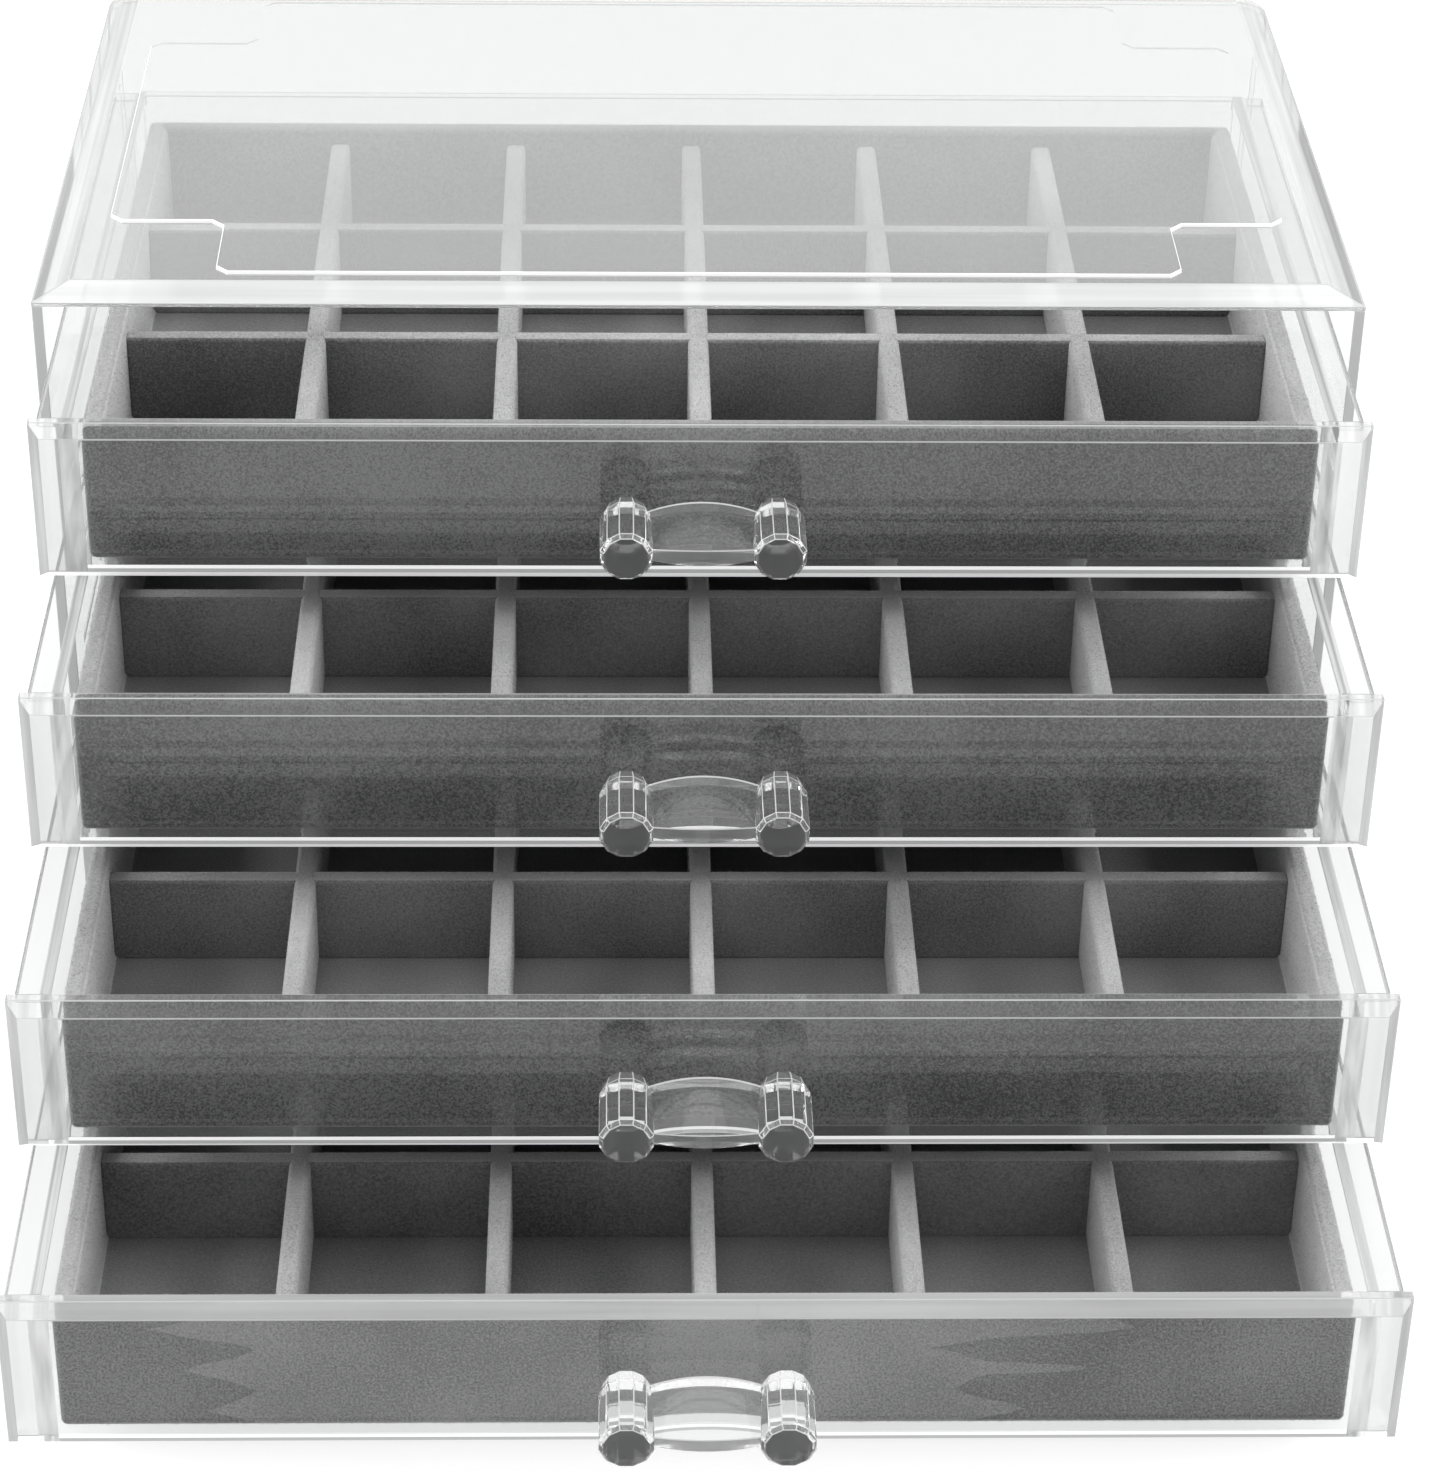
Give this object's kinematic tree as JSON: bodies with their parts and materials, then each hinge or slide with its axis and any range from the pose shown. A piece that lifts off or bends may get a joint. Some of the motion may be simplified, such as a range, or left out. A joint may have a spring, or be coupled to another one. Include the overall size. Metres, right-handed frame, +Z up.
{
  "type": "jewelry organizer box",
  "caption": "Clear plastic jewelry box with stacked pull-out drawers, each lined with a grey velvet insert divided into small square cells.",
  "frame": {"origin": "on the surface the box stands on, under the middle of the whole box with its drawers open as stored", "axes": "+Z up, +X to the right seen from the front, -Y out of the front, the way the drawers open"},
  "size_m": [0.238, 0.2928, 0.1504],
  "materials": {
    "clear_case": "polished clear",
    "clear_feet": "polished clear",
    "clear_front": "polished clear",
    "clear_tray": "polished clear",
    "clear_handle": "polished clear",
    "velvet": "short pile",
    "velvet_divider": "short pile"
  },
  "bodies": {
    "case": {"top_cover": "clear_case", "left_wall": "clear_case", "right_wall": "clear_case", "back_wall": "clear_case", "base_panel": "clear_case", "shelf_1": "clear_case", "shelf_2": "clear_case", "shelf_3": "clear_case", "corner_feet": "clear_feet"},
    "drawer_1": {"drawer_1_front": "clear_front", "drawer_1_tray": "clear_tray", "drawer_1_handle": "clear_handle", "drawer_1_insert": "velvet", "drawer_1_long_dividers": "velvet_divider", "drawer_1_cross_dividers": "velvet_divider"},
    "drawer_2": {"drawer_2_front": "clear_front", "drawer_2_tray": "clear_tray", "drawer_2_handle": "clear_handle", "drawer_2_insert": "velvet", "drawer_2_long_dividers": "velvet_divider", "drawer_2_cross_dividers": "velvet_divider"},
    "drawer_3": {"drawer_3_front": "clear_front", "drawer_3_tray": "clear_tray", "drawer_3_handle": "clear_handle", "drawer_3_insert": "velvet", "drawer_3_long_dividers": "velvet_divider", "drawer_3_cross_dividers": "velvet_divider"},
    "drawer_4": {"drawer_4_front": "clear_front", "drawer_4_tray": "clear_tray", "drawer_4_handle": "clear_handle", "drawer_4_insert": "velvet", "drawer_4_long_dividers": "velvet_divider", "drawer_4_cross_dividers": "velvet_divider"}
  },
  "joints": [
    {"name": "drawer_1_slide", "type": "slide", "parent": "case", "child": "drawer_1", "axis": [0, -1, 0], "range_m": [-0.02314, 0.11076]},
    {"name": "drawer_2_slide", "type": "slide", "parent": "case", "child": "drawer_2", "axis": [0, -1, 0], "range_m": [-0.0577, 0.0762]},
    {"name": "drawer_3_slide", "type": "slide", "parent": "case", "child": "drawer_3", "axis": [0, -1, 0], "range_m": [-0.09765, 0.03625]},
    {"name": "drawer_4_slide", "type": "slide", "parent": "case", "child": "drawer_4", "axis": [0, -1, 0], "range_m": [-0.1339, 0]}
  ]
}
